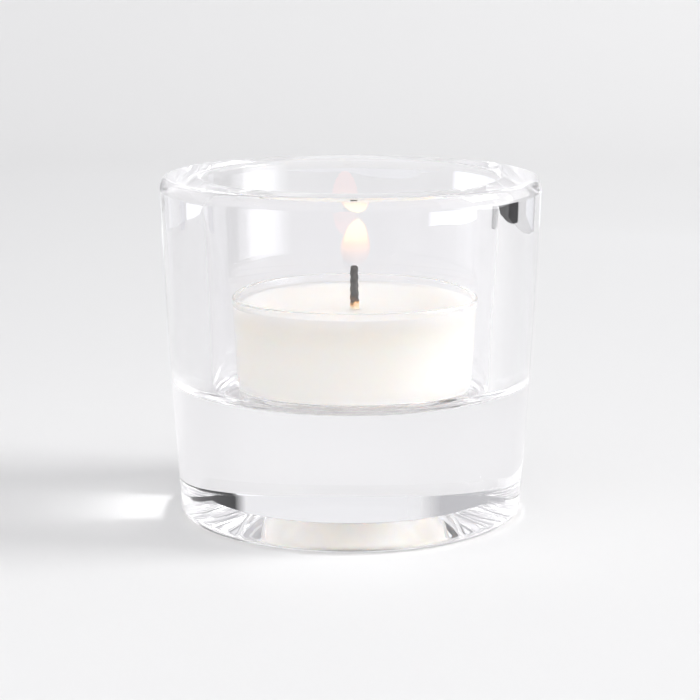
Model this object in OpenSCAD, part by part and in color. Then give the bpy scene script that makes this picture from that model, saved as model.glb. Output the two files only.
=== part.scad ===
// Tealight holder: a heavy-based clear glass cup with a tealight standing in its well.
// The tealight is a clear cup that holds a puck of wax with a braided wick on a tin sustainer.
// Origin: centre of the holder's foot, on the surface that it stands on. +Z is up.

/* [Glass holder] */
// Height of the holder
holder_h = 54.1; // [50:0.1:60]
// Outer diameter at the rim
holder_rim_d = 59.9; // [58:0.1:64]
// Outer diameter just above the rounded heel
holder_foot_d = 54.5; // [52:0.1:57]
// How far the side bulges beyond a straight taper, halfway up
side_belly = 0.25; // [0:0.05:1]
// Inner diameter of the well at the rim
well_mouth_d = 46.6; // [46:0.1:50]
// Inner diameter of the well at its floor
well_floor_d = 44.2; // [43:0.1:46]
// Height of the well's floor above the table, which is how thick the base is
well_floor_h = 20.7; // [16:0.1:24]
// Radius of the fillet between the well's wall and its floor
well_fillet = 2; // [1:0.1:3]
// Height of the rim's outer shoulder, from where it starts to turn in to the top
shoulder_h = 2.15; // [1.6:0.05:3]
// Radius of the shoulder's gentle first turn
shoulder_r = 4.1; // [3.6:0.1:6]
// Radius of the tighter turn from the shoulder to the flat top of the rim
rim_outer_round = 0.9; // [0.5:0.1:1.4]
// Radius of the rim's inner edge
rim_inner_round = 0.8; // [0.4:0.1:1.5]
// Radius of the rounded heel
heel_round = 1.7; // [1:0.1:3]
// Diameter of the hollow under the base where it meets the table, inside the ring that it stands on
hollow_d = 39; // [36:0.1:44]
// Diameter of the hollow's flat roof
hollow_roof_d = 29.2; // [24:0.1:35]
// Height of the hollow's roof above the table
hollow_h = 3.1; // [1:0.1:5]

/* [Tealight cup] */
// Outer diameter at the lip
cup_lip_d = 39; // [38:0.1:40]
// Outer diameter at the bottom
cup_bottom_d = 37.2; // [35:0.1:38]
// Height of the cup
cup_h = 15.1; // [13:0.1:17]
// Thickness of the cup's wall and bottom
cup_wall = 0.5; // [0.4:0.05:0.7]
// Radius of the cup's lower corner
cup_corner = 1.2; // [0.8:0.1:2]
// How far the tealight stands off the holder's axis
tealight_offset = 0.65; // [0:0.05:1.5]

/* [Candle] */
// Depth of the wax's edge below the lip
wax_edge_drop = 1.2; // [0.8:0.1:4]
// How far the wax dips from its edge to the wick
wax_dip = 1.5; // [0:0.1:2]
// Gap between the set wax and the cup
wax_gap = 0.1; // [0.05:0.01:0.2]
// Diameter of the wick
wick_d = 1.5; // [1.2:0.1:2]
// Length of wick that stands out of the wax
wick_exposed = 7; // [4:0.1:10]

/* [Wick sustainer] */
// Diameter of the tin disc
sustainer_d = 14; // [10:0.5:18]
// Thickness of the tin
sustainer_t = 0.3; // [0.2:0.05:0.4]
// Height of the neck that is crimped round the wick, with the disc
neck_h = 3.2; // [2:0.1:5]

/* [Hidden] */
$fn = 96;

arc_steps = 8;            // straight stretches in each quarter of a rounded corner
dish_steps = 16;          // straight stretches across the wax's shallow dish
side_steps = 16;          // straight stretches up the bulging side
rest_gap = 0.05;          // between parts that only rest on each other

holder_rim_r = holder_rim_d / 2;
holder_foot_r = holder_foot_d / 2;
well_mouth_r = well_mouth_d / 2;
well_floor_r = well_floor_d / 2;
hollow_r = hollow_d / 2;
hollow_roof_r = hollow_roof_d / 2;
shoulder_turn = asin((shoulder_h - rim_outer_round) / (shoulder_r - rim_outer_round));
side_h = holder_h - shoulder_h - heel_round;
side_slope = (holder_rim_r - holder_foot_r) / side_h;
belly_slope = 4 * side_belly / side_h;

cup_floor_h = well_floor_h + rest_gap;
cup_lip_r = cup_lip_d / 2;
cup_bottom_r = cup_bottom_d / 2;
cup_lip_h = cup_floor_h + cup_h;

wax_bottom_h = cup_floor_h + cup_wall + rest_gap;
wax_edge_h = cup_lip_h - wax_edge_drop;
wax_corner = cup_corner - cup_wall;
wick_r = wick_d / 2;
neck_r = wick_r + sustainer_t;
sustainer_r = sustainer_d / 2;
wick_top_h = wax_edge_h - wax_dip + wick_exposed;
wick_char_round = 0.3;

// Points along a circular arc about a centre, from one angle to another.
function arc(centre, radius, from, to, steps = arc_steps) = [
    for (i = [0:steps])
        let (a = from + (to - from) * i / steps)
            [centre.x + radius * cos(a), centre.y + radius * sin(a)]
];

// All the points of a line but its first.
function after_first(points) = [for (i = [1:len(points) - 1]) points[i]];

// Points between two others, bulging outwards by belly halfway.
function bulged(from, to, belly, steps = side_steps) = [
    for (i = [1:steps - 1])
        let (t = i / steps)
            from + (to - from) * t + [belly * 4 * t * (1 - t), 0]
];

// Points of a shallow dish, from its edge to its lowest point on the axis.
function dish(edge_r, edge_h, centre_h, steps = dish_steps) = [
    for (i = [0:steps])
        let (r = edge_r * (1 - i / steps))
            [r, centre_h + (edge_h - centre_h) * pow(r / edge_r, 2)]
];

// Radius of the cup's outside at a height above its bottom.
function cup_r(h) = cup_bottom_r + (cup_lip_r - cup_bottom_r) * h / cup_h;

// Radius of the wax's side at a height above the cup's bottom.
function wax_r(h) = cup_r(h) - cup_wall - wax_gap;

// Puts a child on the tealight's own axis.
module on_tealight_axis() {
    translate([tealight_offset, 0, 0]) children();
}

// The pressed-glass body: thick tapered wall, soft-shouldered rim, deep solid base and a hollow underside.
module glass_holder() {
    heel_centre = [holder_foot_r - heel_round, heel_round];
    heel = arc(heel_centre, heel_round, -90, -atan(side_slope + belly_slope));
    shoulder_centre = [holder_rim_r - shoulder_r, holder_h - shoulder_h];
    shoulder = arc(shoulder_centre, shoulder_r, -atan(side_slope - belly_slope), shoulder_turn);
    side = bulged(heel[arc_steps], shoulder[0], side_belly);
    outer_inset = (shoulder_r - rim_outer_round) * [cos(shoulder_turn), sin(shoulder_turn)];
    outer_edge = arc(shoulder_centre + outer_inset, rim_outer_round, shoulder_turn, 90);
    inner_edge = arc([well_mouth_r + rim_inner_round, holder_h - rim_inner_round], rim_inner_round, 90, 180);
    well_corner = arc([well_floor_r - well_fillet, well_floor_h + well_fillet], well_fillet, 0, -90);
    underside = [[0, hollow_h], [hollow_roof_r, hollow_h], [hollow_r, 0]];
    color("lightcyan", 0.4)
        rotate_extrude()
            polygon(concat(
                heel, side, shoulder, after_first(outer_edge), inner_edge,
                well_corner, [[0, well_floor_h]], underside
            ));
}

// The clear moulded cup that the wax is poured in.
module tealight_cup() {
    outer_corner = arc([cup_r(cup_corner) - cup_corner, cup_corner], cup_corner, -90, 0);
    lip = arc([cup_lip_r - cup_wall / 2, cup_h - cup_wall / 2], cup_wall / 2, 0, 180);
    inner_corner = arc([cup_r(cup_corner) - cup_corner, cup_corner], cup_corner - cup_wall, 0, -90);
    color("white", 0.3)
        on_tealight_axis()
            translate([0, 0, cup_floor_h])
                rotate_extrude()
                    polygon(concat([[0, 0]], outer_corner, lip, inner_corner, [[0, cup_wall]]));
}

// The puck of wax, dished on top, with a bore for the wick and room for the sustainer under it.
module wax() {
    corner_h = wax_bottom_h + wax_corner;
    side_low_r = wax_r(corner_h - cup_floor_h);
    side_high_r = wax_r(wax_edge_h - cup_floor_h);
    bottom_corner = arc([side_low_r - wax_corner, corner_h], wax_corner, -90, 0);
    top = dish(side_high_r, wax_edge_h, wax_edge_h - wax_dip);
    color("ivory")
        on_tealight_axis()
            difference() {
                rotate_extrude()
                    polygon(concat([[0, wax_bottom_h]], bottom_corner, top));
                translate([0, 0, wax_bottom_h - 1])
                    cylinder(h = sustainer_t + 1, r = sustainer_r);
                translate([0, 0, wax_bottom_h])
                    cylinder(h = neck_h, r = neck_r);
                translate([0, 0, wax_bottom_h])
                    cylinder(h = cup_h, r = wick_r);
            }
}

// The braided cotton wick, from the sustainer to its charred tip.
module wick() {
    tip = arc([wick_r - wick_char_round, wick_top_h - wick_char_round], wick_char_round, 0, 90);
    color("dimgray")
        on_tealight_axis()
            rotate_extrude()
                polygon(concat([[0, wax_bottom_h], [wick_r, wax_bottom_h]], tip, [[0, wick_top_h]]));
}

// The tin disc that stands the wick up, with a neck crimped round it.
module wick_sustainer() {
    color("silver")
        on_tealight_axis()
            translate([0, 0, wax_bottom_h])
                rotate_extrude()
                    polygon([
                        [wick_r, 0],
                        [sustainer_r, 0],
                        [sustainer_r, sustainer_t],
                        [neck_r, sustainer_t],
                        [neck_r, neck_h],
                        [wick_r, neck_h]
                    ]);
}

glass_holder();
tealight_cup();
wax();
wick();
wick_sustainer();
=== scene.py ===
"""A lit tealight in a heavy-based clear glass holder, on a pale floor.

Everything is in metres, in the CAD model's frame.
"""

import math

import bmesh
import bpy
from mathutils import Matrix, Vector, noise


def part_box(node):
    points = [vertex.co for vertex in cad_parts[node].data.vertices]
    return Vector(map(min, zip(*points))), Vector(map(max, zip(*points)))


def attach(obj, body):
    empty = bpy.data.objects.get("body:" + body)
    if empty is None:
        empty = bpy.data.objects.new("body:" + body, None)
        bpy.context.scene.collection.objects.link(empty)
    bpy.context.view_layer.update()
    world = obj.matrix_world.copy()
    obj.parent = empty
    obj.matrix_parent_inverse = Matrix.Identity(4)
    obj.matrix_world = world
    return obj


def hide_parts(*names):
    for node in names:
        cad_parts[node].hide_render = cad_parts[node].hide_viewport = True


MM = 0.001

# The glass holder's section. Its height, rim and well floor come from the CAD model.
FOOT_RADIUS = 27.25 * MM
SIDE_BELLY = 0.25 * MM
WELL_MOUTH_RADIUS = 23.3 * MM
WELL_FLOOR_RADIUS = 22.1 * MM
WELL_FILLET = 2.0 * MM
SHOULDER_HEIGHT = 2.15 * MM
SHOULDER_RADIUS = 4.1 * MM
RIM_OUTER_ROUND = 0.9 * MM
RIM_INNER_ROUND = 0.8 * MM
HEEL_ROUND = 1.7 * MM
HOLLOW_RADIUS = 19.5 * MM
HOLLOW_ROOF_RADIUS = 14.6 * MM
HOLLOW_HEIGHT = 3.1 * MM
HOLLOW_ROUND = 0.3 * MM
REST_GAP = 0.05 * MM

# How the pressed glass waves: how far in and out, over what distance across it and up it, and over what
# height above the hollow the waves grow to their full size.
WAVE_AMOUNT = 0.035 * MM
WAVE_ROUND = 10 * MM
WAVE_UP = 16 * MM
WAVE_FADE = 2 * MM

# The tealight's sections.
CUP_WALL = 0.5 * MM
CUP_CORNER = 1.2 * MM
CUP_BOTTOM_RADIUS = 18.6 * MM
WAX_GAP = 0.1 * MM
WAX_BITE = 0.03 * MM
WAX_DIP = 1.5 * MM
WAX_CREEP = 0.15 * MM
WAX_CREEP_REACH = 0.7 * MM
WICK_BORE_RADIUS = 0.6 * MM
SUSTAINER_GAP = 0.02 * MM
TIN_THICKNESS = 0.3 * MM

# The wax's painted glow, the extra painted glow at its bottom, and its colours: low on its side, high on
# its side, and on its top, where a painted shade makes it duller than its side.
WAX_PAINTED_GLOW = 0.085
WAX_PAINTED_BOTTOM_GLOW = 0.07
WAX_PAINTED_BOTTOM_GLOW_REACH = 0.5 * MM
WAX_DEEP = (0.99, 0.97, 0.908)
WAX_PALE = (0.972, 0.951, 0.902)
# The top's colour is painted shade: the same wax, made duller where it faces up.
WAX_PAINTED_SHADE_TOP = (0.83, 0.81, 0.768)

# The wick. Its swell, thinning, tip and braid are shares of the CAD wick's radius, and its taper's start and
# length are shares of its height.
WICK_SWELL = 1.06
WICK_THINNING = 0.2
WICK_TAPER_START = 0.55
WICK_TAPER_LENGTH = 0.3
WICK_TIP_SHARE = 0.55
BRAID_CORE = 0.86
BRAID_RIDGE = 0.09
BRAID_FUZZ = 0.05
BRAID_FUZZ_SIZE = 0.25 * MM
BRAID_PITCH = 2.6 * MM
BRAID_STRANDS = 3
WICK_TIP_ROUND = 0.3 * MM
WICK_BEND = 0.12 * MM
CHAR_BELOW_WAX = 0.25 * MM
CHAR_BLEND = 1.2 * MM
CHAR_RISE = 1.6 * MM
CHAR_RAGGEDNESS = 2.4 * MM

# The flame.
FLAME_SINK = 0.2 * MM
FLAME_HEIGHT = 7.6 * MM
FLAME_LEAN = 0.5 * MM
FLAME_LEAN_CURVE = 2.2
FLAME_SIDES = 64
FLAME_LIGHT_SHIFT = 0.3 * MM
FLAME_LIGHT_RISE = 5.6 * MM
FLAME_LIGHT_WIDTH = 4 * MM
FLAME_LIGHT_HEIGHT = 11 * MM
FLAME_WATTS = 0.00022

# How finely round shapes are made, and the radius under which a point counts as on the axis.
LATHE_SIDES = 256
ROUND_STEPS = 16
CUP_STEPS = 8
HOLLOW_STEPS = 6
ON_AXIS = 1e-6

# The camera.
CAMERA_SIDE = -0.0001
CAMERA_DISTANCE = 0.350
CAMERA_HEIGHT = 0.095
CAMERA_PITCH = 11.15
CAMERA_LENS = 115.0
CAMERA_SENSOR = 36.0
CAMERA_CLIP_START = 0.01

# The floor and the backdrop.
FLOOR_GAP = 0.02 * MM
SWEEP_FRONT = -4.0
SWEEP_FLAT_TO = 0.5
SWEEP_CURVE = 0.4
SWEEP_HEIGHT = 0.55
SWEEP_HALF_WIDTH = 4.0

# The room round them. Its walls blend into its ceiling between two heights, where straight up is 1.
ROOM_WALL = (0.985, 0.972, 1.0)
ROOM_WALL_TOP = 0.25
ROOM_CEILING = (0.43, 0.43, 0.45)
ROOM_CEILING_EDGE = 0.6
ROOM_STRENGTH = 0.92

# The lights.
KEY = dict(place=(3.2, -0.1, 1.35), aim=(0, 0, 0.03), width=1.4, height=1.2, watts=91.0)
WINDOW = dict(place=(1.1, -0.15, 0.42), aim=(0, 0, 0.42), width=1.2, height=0.8, watts=2.3)
OVERHEAD = dict(place=(0.0, -0.45, 0.9), aim=(0, -0.45, 0.0), width=1.6, height=1.0, watts=5.2)

# The cards that the glass mirrors: name, where it starts and ends in degrees round from +X, how far away it
# is, its bottom and top, its colour, and how much of it fades out towards its sides.
CARDS = [
    ("dark_card", 12, 53, 0.284, 0, 0.04, (0.01, 0.01, 0.012), 0.1),
    ("grey_card_left", 124, 133, 0.295, 0, 0.02, (0.72, 0.72, 0.75), 0.4),
    ("dark_card_far", 38, 66, 0.45, 0, 0.22, (0.02, 0.02, 0.022), 0.3),
    ("pale_card", 55, 110, 0.45, 0, 0.3, (0.85, 0.85, 0.87), 0.25),
    ("grey_card", 104, 137, 0.45, 0, 0.22, (0.5, 0.5, 0.52), 0.35),
    ("white_card_left", 133, 158, 0.295, 0, 0.02, (1.1, 1.11, 1.15), 0.1),
    ("white_card_right", 64, 80, 0.325, 0, 0.02, (1.1, 1.11, 1.15), 0.1),
    ("low_window", -38, 22, 0.23, 0.015, 0.045, (4.4, 4.44, 4.5), 0.7),
]


def arc(centre, radius, start, end, steps=12):
    """Points (radius, height) along a circular arc, with angles in degrees."""
    points = []
    for i in range(steps + 1):
        angle = math.radians(start + (end - start) * i / steps)
        points.append((centre[0] + radius * math.cos(angle), centre[1] + radius * math.sin(angle)))
    return points


def straight(start, end, steps):
    """Points along a straight stretch, without its two ends."""
    points = []
    for i in range(1, steps):
        share = i / steps
        points.append((start[0] + (end[0] - start[0]) * share, start[1] + (end[1] - start[1]) * share))
    return points


def bulged(start, end, belly, steps):
    """Points along a stretch that bulges outwards by belly at its middle, without its two ends."""
    points = []
    for i, (radius, height) in enumerate(straight(start, end, steps), 1):
        share = i / steps
        points.append((radius + belly * 4 * share * (1 - share), height))
    return points


def lathe(name, profile, axis_x=0.0, sides=LATHE_SIDES, closed=False):
    """A smooth mesh turned from a profile. Points on the axis become single vertices."""
    mesh = bmesh.new()
    rings = []
    for radius, height in profile:
        if radius < ON_AXIS:
            rings.append([mesh.verts.new((axis_x, 0, height))])
            continue
        ring = []
        for i in range(sides):
            angle = 2 * math.pi * i / sides
            x = axis_x + radius * math.cos(angle)
            y = radius * math.sin(angle)
            ring.append(mesh.verts.new((x, y, height)))
        rings.append(ring)
    neighbours = list(zip(rings, rings[1:]))
    if closed:
        neighbours.append((rings[-1], rings[0]))
    for lower, upper in neighbours:
        for i in range(sides):
            j = (i + 1) % sides
            corners = [lower[i % len(lower)], lower[j % len(lower)]]
            corners += [upper[j % len(upper)], upper[i % len(upper)]]
            corners = list(dict.fromkeys(corners))
            if len(corners) > 2:
                mesh.faces.new(corners)
    bmesh.ops.recalc_face_normals(mesh, faces=mesh.faces)
    data = bpy.data.meshes.new(name)
    mesh.to_mesh(data)
    mesh.free()
    data.shade_smooth()
    piece = bpy.data.objects.new(name, data)
    bpy.context.scene.collection.objects.link(piece)
    return piece


def glass_profile(height, rim_radius, well_floor):
    """The holder's section: from the middle of the hollow underside, up the outside and down the well."""
    side_height = height - SHOULDER_HEIGHT - HEEL_ROUND
    side_slope = (rim_radius - FOOT_RADIUS) / side_height
    belly_slope = 4 * SIDE_BELLY / side_height
    well_slope = (WELL_MOUTH_RADIUS - WELL_FLOOR_RADIUS) / (height - well_floor)
    side_lean_low = math.degrees(math.atan(side_slope + belly_slope))
    side_lean_high = math.degrees(math.atan(side_slope - belly_slope))
    well_lean = math.degrees(math.atan(well_slope))

    turn = math.asin((SHOULDER_HEIGHT - RIM_OUTER_ROUND) / (SHOULDER_RADIUS - RIM_OUTER_ROUND))
    inset = SHOULDER_RADIUS - RIM_OUTER_ROUND
    shoulder_centre = (rim_radius - SHOULDER_RADIUS, height - SHOULDER_HEIGHT)
    edge_x = shoulder_centre[0] + inset * math.cos(turn)
    edge_z = shoulder_centre[1] + inset * math.sin(turn)
    edge_centre = (edge_x, edge_z)
    inner_centre = (WELL_MOUTH_RADIUS + RIM_INNER_ROUND, height - RIM_INNER_ROUND)
    corner_centre = (WELL_FLOOR_RADIUS - WELL_FILLET, well_floor + WELL_FILLET)
    heel_centre = (FOOT_RADIUS - HEEL_ROUND, HEEL_ROUND)

    heel = arc(heel_centre, HEEL_ROUND, -90, -side_lean_low)
    shoulder = arc(shoulder_centre, SHOULDER_RADIUS, -side_lean_high, math.degrees(turn), ROUND_STEPS)
    outer_edge = arc(edge_centre, RIM_OUTER_ROUND, math.degrees(turn), 90, ROUND_STEPS)
    inner_edge = arc(inner_centre, RIM_INNER_ROUND, 90, 180 + well_lean, ROUND_STEPS)
    corner = arc(corner_centre, WELL_FILLET, -well_lean, -90, ROUND_STEPS)

    hollow_slope = math.atan2(HOLLOW_HEIGHT, HOLLOW_RADIUS - HOLLOW_ROOF_RADIUS)
    setback = HOLLOW_ROUND * math.tan(hollow_slope / 2)
    hollow_lean = 90 - math.degrees(hollow_slope)
    roof_centre = (HOLLOW_ROOF_RADIUS - setback, HOLLOW_HEIGHT - HOLLOW_ROUND)
    foot_centre = (HOLLOW_RADIUS + setback, HOLLOW_ROUND)
    roof_edge = arc(roof_centre, HOLLOW_ROUND, 90, hollow_lean, HOLLOW_STEPS)
    foot_edge = arc(foot_centre, HOLLOW_ROUND, 180 + hollow_lean, 270, HOLLOW_STEPS)

    profile = [(0.0, HOLLOW_HEIGHT)]
    profile += straight((0.0, HOLLOW_HEIGHT), roof_edge[0], 12)
    profile += roof_edge
    profile += straight(roof_edge[-1], foot_edge[0], 8)
    profile += foot_edge
    profile += straight(foot_edge[-1], heel[0], 4)
    profile += heel
    profile += bulged(heel[-1], shoulder[0], SIDE_BELLY, 40)
    profile += shoulder
    profile += outer_edge[1:]
    profile += straight(outer_edge[-1], inner_edge[0], 8)
    profile += inner_edge
    profile += straight(inner_edge[-1], corner[0], 24)
    profile += corner
    profile += straight(corner[-1], (0.0, well_floor), 12)
    profile.append((0.0, well_floor))
    return profile


def make_wavy(piece):
    """Moves a turned piece's points in and out by smooth noise, as pressed glass has, but not its foot."""
    for vertex in piece.data.vertices:
        radius = math.hypot(vertex.co.x, vertex.co.y)
        if radius < ON_AXIS:
            continue
        place = Vector((vertex.co.x / WAVE_ROUND, vertex.co.y / WAVE_ROUND, vertex.co.z / WAVE_UP))
        above_foot = min(max((vertex.co.z - HOLLOW_HEIGHT) / WAVE_FADE, 0.0), 1.0)
        move = WAVE_AMOUNT * noise.noise(place) * above_foot
        vertex.co.x += move * vertex.co.x / radius
        vertex.co.y += move * vertex.co.y / radius


def cup_profile(low, high, lip_radius):
    """The tealight cup's section."""
    wall = CUP_WALL / 2
    corner_radius = CUP_BOTTOM_RADIUS - CUP_CORNER
    outer = arc((corner_radius, low + CUP_CORNER), CUP_CORNER, -90, 0, CUP_STEPS)
    lip = arc((lip_radius - wall, high - wall), wall, 0, 180, CUP_STEPS)
    inner = arc((corner_radius, low + CUP_CORNER), CUP_CORNER - CUP_WALL, 0, -90, CUP_STEPS)
    profile = [(0.0, low)]
    profile += outer
    profile += straight(outer[-1], lip[0], CUP_STEPS)
    profile += lip
    profile += straight(lip[-1], inner[0], CUP_STEPS)
    profile += inner
    profile.append((0.0, low + CUP_WALL))
    return profile


def wax_top(side_radius, edge, steps=48):
    """Points over the wax's dished top, which creeps up a little at the wick."""
    points = []
    for i in range(steps + 1):
        radius = side_radius + (WICK_BORE_RADIUS - side_radius) * (i / steps) ** 0.7
        height = edge - WAX_DIP * (1 - (radius / side_radius) ** 2)
        creep = WAX_CREEP * math.exp(-(radius - WICK_BORE_RADIUS) / WAX_CREEP_REACH)
        points.append((radius, height + creep))
    return points


def wax_profile(low, edge, side_low, side_high, sustainer_radius, sustainer_top, neck_radius, neck_top):
    """The wax's section: hollow where the wick and its sustainer are, and dished on top."""
    corner = CUP_CORNER - CUP_WALL
    neck = neck_radius + SUSTAINER_GAP
    disc = sustainer_radius + SUSTAINER_GAP
    disc_roof = sustainer_top + SUSTAINER_GAP
    profile = [(WICK_BORE_RADIUS, neck_top + SUSTAINER_GAP), (neck, neck_top + SUSTAINER_GAP)]
    profile += [(neck, disc_roof), (disc, disc_roof), (disc, low)]
    profile += arc((side_low - corner, low + corner), corner, -90, 0, CUP_STEPS)
    profile += wax_top(side_high, edge)
    return profile


def wick_piece(low, high, wick_radius, axis_x, sides=48, steps=150):
    """A slim charred cotton wick, with the ridges of its braid, a swollen foot and a rounded tip."""
    profile = []
    for i in range(steps + 1):
        share = i / steps
        taper = min(max((share - WICK_TAPER_START) / WICK_TAPER_LENGTH, 0.0), 1.0)
        radius = wick_radius * (WICK_SWELL - WICK_THINNING * taper)
        tip = min(1.0, math.sqrt(max((1 - share) * (high - low) / WICK_TIP_ROUND, 0.02)))
        radius = radius * (WICK_TIP_SHARE + (1 - WICK_TIP_SHARE) * tip)
        profile.append((radius, low + (high - low) * share))
    piece = lathe("wick_braid", [(0.0, low)] + profile + [(0.0, high)], 0.0, sides)
    for vertex in piece.data.vertices:
        x, y, z = vertex.co
        radius = math.hypot(x, y)
        if radius > ON_AXIS:
            angle = math.atan2(y, x)
            climb = 2 * math.pi * z / BRAID_PITCH
            turn = BRAID_STRANDS / 2 * angle
            braid = abs(math.sin(turn + climb)) + abs(math.sin(turn - climb))
            fuzz = noise.noise(Vector((x, y, z)) / BRAID_FUZZ_SIZE)
            radius = radius * (BRAID_CORE + BRAID_RIDGE * braid + BRAID_FUZZ * fuzz)
            x = radius * math.cos(angle)
            y = radius * math.sin(angle)
        share = (z - low) / (high - low)
        bend = WICK_BEND * math.sin(5.0 * share + 0.4) * share
        vertex.co = (axis_x + x + bend, y, z)
    return piece


def flame_shape(share):
    """The flame's half width, from its foot at 0 to its tip at 1, as a share of its widest."""
    widths = [0.0, 0.5, 0.78, 0.92, 0.99, 1.0, 0.97, 0.92, 0.85, 0.77, 0.68, 0.55, 0.34, 0.0]
    place = min(max(share, 0.0), 1.0) * (len(widths) - 1)
    i = min(int(place), len(widths) - 2)
    return widths[i] + (widths[i + 1] - widths[i]) * (place - i)


def flame_piece(name, foot, tip, half_width, axis_x, lean, steps=56):
    """One closed skin of the flame, leaning over towards its tip."""
    profile = [(0.0, foot)]
    for i in range(1, steps):
        share = i / steps
        profile.append((half_width * flame_shape(share), foot + (tip - foot) * share))
    profile.append((0.0, tip))
    piece = lathe(name, profile, 0.0, FLAME_SIDES)
    for vertex in piece.data.vertices:
        share = max((vertex.co.z - foot) / (tip - foot), 0.0)
        vertex.co.x += axis_x + lean * share**FLAME_LEAN_CURVE
    return piece


def node_material(name, **values):
    """A material whose shader's named sockets are set. Returns the material and its shader."""
    material = bpy.data.materials.new(name)
    material.use_nodes = True
    shader = material.node_tree.nodes["Principled BSDF"]
    for socket, value in values.items():
        shader.inputs[socket.replace("_", " ")].default_value = value
    return material, shader


def place_node(material):
    """The point's place in its own object, in metres."""
    return material.node_tree.nodes.new("ShaderNodeTexCoord").outputs["Object"]


def noise_node(material, scale, detail, squeeze=(1, 1, 1)):
    """Noise over the object, with its scale per metre, squeezed along each axis."""
    nodes, links = material.node_tree.nodes, material.node_tree.links
    mapping = nodes.new("ShaderNodeMapping")
    mapping.inputs["Scale"].default_value = squeeze
    links.new(place_node(material), mapping.inputs["Vector"])
    texture = nodes.new("ShaderNodeTexNoise")
    texture.inputs["Scale"].default_value = scale
    texture.inputs["Detail"].default_value = detail
    links.new(mapping.outputs["Vector"], texture.inputs["Vector"])
    return texture.outputs["Fac"]


def math_node(material, operation, first, second):
    """One operation on two values, each a socket or a number."""
    node = material.node_tree.nodes.new("ShaderNodeMath")
    node.operation = operation
    for socket, value in zip(node.inputs, (first, second)):
        if isinstance(value, (int, float)):
            socket.default_value = value
        else:
            material.node_tree.links.new(value, socket)
    return node.outputs["Value"]


def ramp_node(material, factor, stops):
    """Colours blended along a factor. Each stop is a place from 0 to 1 and a colour."""
    ramp = material.node_tree.nodes.new("ShaderNodeValToRGB")
    elements = ramp.color_ramp.elements
    while len(elements) < len(stops):
        elements.new(0.5)
    for element, (place, colour) in zip(elements, stops):
        element.position = place
        element.color = (*colour, 1)
    material.node_tree.links.new(factor, ramp.inputs["Fac"])
    return ramp.outputs["Color"]


def range_node(material, value, low, high):
    """A value mapped from low..high to 0..1."""
    node = material.node_tree.nodes.new("ShaderNodeMapRange")
    node.inputs["From Min"].default_value = low
    node.inputs["From Max"].default_value = high
    material.node_tree.links.new(value, node.inputs["Value"])
    return node.outputs["Result"]


def height_node(material):
    """The point's height in its own object, in metres."""
    split = material.node_tree.nodes.new("ShaderNodeSeparateXYZ")
    material.node_tree.links.new(place_node(material), split.inputs["Vector"])
    return split.outputs["Z"]


def facing_up_node(material):
    """How far the surface faces up: 1 on a level top, 0 on an upright side."""
    split = material.node_tree.nodes.new("ShaderNodeSeparateXYZ")
    surface = material.node_tree.nodes.new("ShaderNodeNewGeometry")
    material.node_tree.links.new(surface.outputs["Normal"], split.inputs["Vector"])
    return split.outputs["Z"]


def add_bump(material, shader, height, distance):
    """Roughens the surface by a texture, up to a distance in metres."""
    nodes, links = material.node_tree.nodes, material.node_tree.links
    bump = nodes.new("ShaderNodeBump")
    bump.inputs["Distance"].default_value = distance
    bump.inputs["Strength"].default_value = 1.0
    links.new(height, bump.inputs["Height"])
    links.new(bump.outputs["Normal"], shader.inputs["Normal"])


def glass_material():
    """Clear pressed glass with the faint unevenness of its mould."""
    material, shader = node_material(
        "clear_glass",
        Base_Color=(0.996, 0.992, 1.0, 1),
        Roughness=0.0,
        IOR=1.52,
        Transmission_Weight=1.0,
    )
    ripples = noise_node(material, scale=160, detail=1.0, squeeze=(1, 1, 0.4))
    add_bump(material, shader, ripples, distance=0.004 * MM)
    return material


def polycarbonate_material():
    """Clear moulded plastic, faintly cloudy."""
    material, shader = node_material(
        "clear_polycarbonate",
        Base_Color=(1, 1, 1, 1),
        Roughness=0.12,
        IOR=1.58,
        Transmission_Weight=1.0,
    )
    ripples = noise_node(material, scale=300, detail=2.0)
    add_bump(material, shader, ripples, distance=0.004 * MM)
    return material


def wax_material(low, edge):
    """Creamy white paraffin with a painted warm glow, more at its bottom; creamier towards its bottom, and
    painted a shade duller on top.
    """
    material, shader = node_material(
        "paraffin_wax",
        Roughness=0.42,
        IOR=1.43,
        Subsurface_Weight=1.0,
        Subsurface_Radius=(1.0, 0.85, 0.7),
        Subsurface_Scale=0.010,
        # The emission colour is the wax's painted warm glow; the wax is no lamp.
        Emission_Color=(1.0, 0.95, 0.87, 1),
    )
    links = material.node_tree.links
    mottle = math_node(material, "MULTIPLY", noise_node(material, scale=260, detail=4.0), 0.2)
    height = range_node(material, height_node(material), low, edge)
    mottled_height = math_node(material, "ADD", height, mottle)
    # Adding how far the surface faces up puts the painted shade on the wax's top.
    place = math_node(material, "ADD", mottled_height, facing_up_node(material))
    half_place = math_node(material, "MULTIPLY", place, 0.5)
    stops = [(0.05, WAX_DEEP), (0.5, WAX_PALE), (0.62, WAX_PALE), (0.9, WAX_PAINTED_SHADE_TOP)]
    links.new(ramp_node(material, half_place, stops), shader.inputs["Base Color"])
    # Painted glow: a steady emission over all the wax, and more near its bottom.
    bottom_glow_mask = range_node(material, height_node(material), low + WAX_PAINTED_BOTTOM_GLOW_REACH, low)
    painted_bottom_glow = math_node(material, "MULTIPLY", bottom_glow_mask, WAX_PAINTED_BOTTOM_GLOW)
    links.new(math_node(material, "ADD", painted_bottom_glow, WAX_PAINTED_GLOW), shader.inputs["Emission Strength"])
    grain = noise_node(material, scale=900, detail=4.0)
    add_bump(material, shader, grain, distance=0.02 * MM)
    return material


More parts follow.
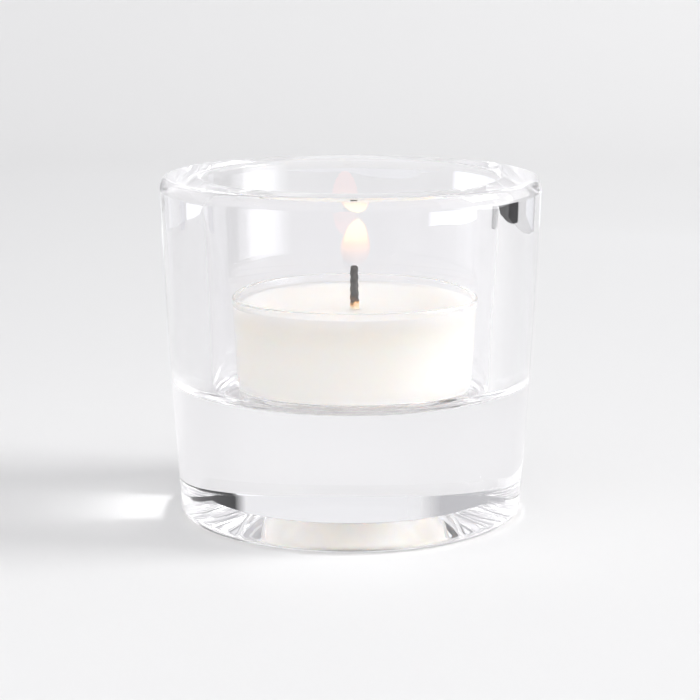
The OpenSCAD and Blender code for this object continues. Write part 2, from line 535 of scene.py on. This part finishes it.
def wick_material(char_foot):
    """Cotton burnt to grey char, with a scorched edge whose orange is partly the flame's glow painted on,
    and a clean cream foot.
    """
    material, shader = node_material("charred_cotton", Roughness=0.92)
    fray = noise_node(material, scale=900, detail=3.0)
    ragged = math_node(material, "MULTIPLY", fray, CHAR_RAGGEDNESS)
    height = math_node(material, "SUBTRACT", height_node(material), ragged)
    place = range_node(material, height, char_foot - CHAR_BLEND, char_foot + CHAR_RISE)
    stops = [
        (0.0, (0.93, 0.87, 0.76)),
        # The orange stops are scorch and, in part, the flame's glow painted on as colour.
        (0.3, (0.95, 0.80, 0.60)),
        (0.5, (0.82, 0.46, 0.20)),
        (0.62, (0.16, 0.09, 0.05)),
        (0.75, (0.055, 0.05, 0.048)),
        (1.0, (0.075, 0.07, 0.066)),
    ]
    material.node_tree.links.new(ramp_node(material, place, stops), shader.inputs["Base Color"])
    fibres = noise_node(material, scale=6000, detail=4.0)
    add_bump(material, shader, fibres, distance=0.08 * MM)
    return material


def tin_material():
    """Thin rolled tinplate."""
    material, shader = node_material("tinplate", Metallic=1.0, Roughness=0.32)
    streaks = noise_node(material, scale=500, detail=3.0, squeeze=(0.15, 2.0, 1.0))
    colour = ramp_node(material, streaks, [(0.2, (0.58, 0.58, 0.57)), (0.8, (0.74, 0.74, 0.73))])
    material.node_tree.links.new(colour, shader.inputs["Base Color"])
    return material


def flame_material(name, foot, tip, alpha, colours):
    """See-through fire: colours and opacity change from the foot to the tip."""
    material, shader = node_material(
        name,
        Base_Color=(0, 0, 0, 1),
        Roughness=1.0,
        Specular_IOR_Level=0.0,
        Emission_Strength=1.0,
    )
    place = range_node(material, height_node(material), foot, tip)
    links = material.node_tree.links
    links.new(ramp_node(material, place, colours), shader.inputs["Emission Color"])
    shades = [(at, (level, level, level)) for at, level in alpha]
    links.new(ramp_node(material, place, shades), shader.inputs["Alpha"])
    return material


def dress(piece, material, body):
    """Gives a piece its material and the body that it rides on."""
    piece.data.materials.append(material)
    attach(piece, body)


def build_holder(well_floor):
    """The pressed-glass body."""
    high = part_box("glass_holder")[1]
    glass = lathe("glass_holder_body", glass_profile(high.z, high.x, well_floor))
    make_wavy(glass)
    dress(glass, glass_material(), "holder")
    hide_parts("glass_holder")


def build_tealight():
    """The cup, the wax and the wick. Returns the tealight's axis and the height of the wick's tip."""
    cup_low, cup_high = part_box("tealight_cup")
    wax_low, wax_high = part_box("wax")
    wick_low, wick_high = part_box("wick")
    tin_low, tin_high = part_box("wick_sustainer")
    axis_x = (cup_low.x + cup_high.x) / 2

    lip_radius = (cup_high.x - cup_low.x) / 2
    cup = lathe("tealight_cup_shell", cup_profile(cup_low.z, cup_high.z, lip_radius), axis_x)
    dress(cup, polycarbonate_material(), "cup")
    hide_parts("tealight_cup")

    side_high = (wax_high.x - wax_low.x) / 2 + WAX_GAP + WAX_BITE
    side_low = CUP_BOTTOM_RADIUS - CUP_WALL + WAX_BITE
    wick_radius = (wick_high.x - wick_low.x) / 2
    tin_radius = (tin_high.x - tin_low.x) / 2
    section = wax_profile(
        wax_low.z,
        wax_high.z,
        side_low,
        side_high,
        tin_radius,
        tin_low.z + TIN_THICKNESS,
        wick_radius + TIN_THICKNESS,
        tin_high.z,
    )
    wax = lathe("wax_puck", section, axis_x, closed=True)
    dress(wax, wax_material(wax_low.z, wax_high.z), "candle")
    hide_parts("wax")

    wax_centre = wax_high.z - WAX_DIP
    wick = wick_piece(wick_low.z, wick_high.z, wick_radius, axis_x)
    dress(wick, wick_material(wax_centre - CHAR_BELOW_WAX), "candle")
    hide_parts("wick")

    bpy.data.objects["wick_sustainer"].material_slots[0].material = tin_material()
    return axis_x, wick_high.z


def build_flame(axis_x, wick_tip):
    """Nested skins, each see-through, so that the flame is brightest through its middle."""
    foot = wick_tip - FLAME_SINK
    tip = wick_tip + FLAME_HEIGHT
    glow = flame_material(
        "flame_glow",
        foot,
        tip,
        [(0.0, 0.0), (0.25, 0.04), (0.5, 0.10), (0.85, 0.12), (1.0, 0.02)],
        [(0.0, (1.5, 0.8, 0.7)), (0.5, (1.9, 1.05, 0.7)), (1.0, (1.9, 1.5, 1.1))],
    )
    core_colours = [
        (0.0, (1.2, 0.9, 0.8)),
        (0.45, (1.2, 0.95, 0.8)),
        (0.66, (1.25, 1.17, 0.9)),
        (1.0, (1.3, 1.22, 0.96)),
    ]
    core = flame_material(
        "flame_core",
        foot,
        tip,
        [(0.0, 0.0), (0.3, 0.04), (0.48, 0.22), (0.66, 0.6), (0.9, 0.6), (1.0, 0.3)],
        core_colours,
    )
    skins = [
        ("flame_outer", glow, 0.0, 0.0, 2.35 * MM),
        ("flame_middle", core, 0.6 * MM, 0.3 * MM, 2.1 * MM),
        ("flame_inner", core, 1.3 * MM, 0.6 * MM, 1.8 * MM),
    ]
    for name, material, raised, lowered, half_width in skins:
        skin = flame_piece(name, foot + raised, tip - lowered, half_width, axis_x, FLAME_LEAN)
        dress(skin, material, "candle")


def build_flame_light(axis_x, wick_tip):
    """The flame's own glow, which shows only as the glass mirrors it."""
    x = axis_x + FLAME_LIGHT_SHIFT
    z = wick_tip + FLAME_LIGHT_RISE
    light = area_light(
        "flame_light",
        (x, 0, z),
        (x, 1, z),
        FLAME_LIGHT_WIDTH,
        FLAME_LIGHT_HEIGHT,
        FLAME_WATTS,
        (1.0, 0.12, 0.06),
    )
    light.data.shape = "ELLIPSE"
    light.visible_transmission = False
    light.visible_diffuse = False
    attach(light, "candle")


def flat_sheet(name, width, depth, centre, rotation):
    """A flat sheet of the studio."""
    data = bpy.data.meshes.new(name)
    x = width / 2
    y = depth / 2
    data.from_pydata([(-x, -y, 0), (x, -y, 0), (x, y, 0), (-x, y, 0)], [], [(0, 1, 2, 3)])
    sheet = bpy.data.objects.new(name, data)
    sheet.location = centre
    sheet.rotation_euler = rotation
    bpy.context.scene.collection.objects.link(sheet)
    return sheet


def area_light(name, place, aim, width, height, watts, colour=(1, 1, 1)):
    """A soft light, hidden from the camera, that faces the point aimed at."""
    data = bpy.data.lights.new(name, "AREA")
    data.shape = "RECTANGLE"
    data.size = width
    data.size_y = height
    data.energy = watts
    data.color = colour
    light = bpy.data.objects.new(name, data)
    light.location = place
    light.rotation_euler = (Vector(aim) - Vector(place)).to_track_quat("-Z", "Y").to_euler()
    light.visible_camera = False
    bpy.context.scene.collection.objects.link(light)
    return light


def studio_world():
    """A soft room with pale walls and a darker ceiling."""
    world = bpy.data.worlds.new("studio")
    bpy.context.scene.world = world
    world.use_nodes = True
    nodes, links = world.node_tree.nodes, world.node_tree.links
    split = nodes.new("ShaderNodeSeparateXYZ")
    links.new(nodes.new("ShaderNodeTexCoord").outputs["Generated"], split.inputs["Vector"])
    ramp = nodes.new("ShaderNodeValToRGB")
    ramp.color_ramp.interpolation = "EASE"
    wall, ceiling = ramp.color_ramp.elements
    wall.position = ROOM_WALL_TOP
    wall.color = (*ROOM_WALL, 1)
    ceiling.position = ROOM_CEILING_EDGE
    ceiling.color = (*ROOM_CEILING, 1)
    links.new(split.outputs["Z"], ramp.inputs["Fac"])
    background = nodes["Background"]
    links.new(ramp.outputs["Color"], background.inputs["Color"])
    background.inputs["Strength"].default_value = ROOM_STRENGTH


def card(name, start, end, distance, bottom, top, colour, fade):
    """A soft-edged upright card between two azimuths, in degrees from +X. Only the glass sees it."""
    middle = math.radians((start + end) / 2)
    width = 2 * distance * math.sin(math.radians((end - start) / 2))
    centre = (distance * math.cos(middle), distance * math.sin(middle), (bottom + top) / 2)
    quarter_turn = math.radians(90)
    sheet = flat_sheet(name, width, top - bottom, centre, (quarter_turn, 0, middle - quarter_turn))
    material, shader = node_material(
        name,
        Base_Color=(0, 0, 0, 1),
        Specular_IOR_Level=0.0,
        Emission_Color=(*colour, 1),
        Emission_Strength=1.0,
    )
    split = material.node_tree.nodes.new("ShaderNodeSeparateXYZ")
    material.node_tree.links.new(place_node(material), split.inputs["Vector"])
    off_middle = math_node(material, "ABSOLUTE", split.outputs["X"], 0.0)
    opacity = range_node(material, off_middle, width / 2, width / 2 * (1 - fade))
    material.node_tree.links.new(opacity, shader.inputs["Alpha"])
    sheet.data.materials.append(material)
    sheet.visible_camera = False
    sheet.visible_diffuse = False
    sheet.visible_shadow = False


def sweep():
    """The table and the backdrop in one: a flat floor that curves up into a low wall behind the object."""
    line = [(SWEEP_FRONT, 0.0), (SWEEP_FLAT_TO, 0.0)]
    line += arc((SWEEP_FLAT_TO, SWEEP_CURVE), SWEEP_CURVE, -90, 0, 48)[1:]
    line.append((SWEEP_FLAT_TO + SWEEP_CURVE, SWEEP_HEIGHT))
    points = []
    for y, z in line:
        points.append((-SWEEP_HALF_WIDTH, y, z - FLOOR_GAP))
        points.append((SWEEP_HALF_WIDTH, y, z - FLOOR_GAP))
    faces = [(2 * i, 2 * i + 1, 2 * i + 3, 2 * i + 2) for i in range(len(line) - 1)]
    data = bpy.data.meshes.new("floor_sweep")
    data.from_pydata(points, [], faces)
    data.shade_smooth()
    floor = bpy.data.objects.new("floor_sweep", data)
    bpy.context.scene.collection.objects.link(floor)
    paper, _ = node_material(
        "floor_paper",
        Base_Color=(0.8, 0.8, 0.795, 1),
        Roughness=0.6,
        Specular_IOR_Level=0.2,
    )
    floor.data.materials.append(paper)


def build_stage():
    """The floor, the room, the lights, and the cards that the glass mirrors."""
    sweep()
    studio_world()
    area_light("key", **KEY)
    area_light("window", **WINDOW)
    area_light("overhead", **OVERHEAD)
    for row in CARDS:
        card(*row)


def build_camera():
    """The camera, at the photo's angle."""
    data = bpy.data.cameras.new("camera")
    data.sensor_width = CAMERA_SENSOR
    data.lens = CAMERA_LENS
    camera = bpy.data.objects.new("camera", data)
    camera.location = (CAMERA_SIDE, -CAMERA_DISTANCE, CAMERA_HEIGHT)
    camera.rotation_euler = (math.radians(90 - CAMERA_PITCH), 0, 0)
    data.clip_start = CAMERA_CLIP_START
    bpy.context.scene.collection.objects.link(camera)
    bpy.context.scene.camera = camera


def set_up_rendering():
    """Plain colours, and bounces enough for light to cross the glass many times."""
    scene = bpy.context.scene
    scene.view_settings.view_transform = "Standard"
    scene.cycles.use_denoising = True
    scene.cycles.blur_glossy = 0
    scene.cycles.max_bounces = 512
    scene.cycles.transmission_bounces = 512
    scene.cycles.glossy_bounces = 512
    scene.cycles.transparent_max_bounces = 64


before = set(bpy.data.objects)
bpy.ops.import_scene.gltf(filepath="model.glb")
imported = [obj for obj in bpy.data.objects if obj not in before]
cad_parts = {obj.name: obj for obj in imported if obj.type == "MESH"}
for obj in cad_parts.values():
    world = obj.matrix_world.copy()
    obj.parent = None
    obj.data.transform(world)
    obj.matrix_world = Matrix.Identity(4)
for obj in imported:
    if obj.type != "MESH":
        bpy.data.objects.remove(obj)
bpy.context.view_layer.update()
build_holder(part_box("tealight_cup")[0].z - REST_GAP)
tealight_x, wick_tip = build_tealight()
build_flame(tealight_x, wick_tip)
build_flame_light(tealight_x, wick_tip)
build_stage()
build_camera()
set_up_rendering()
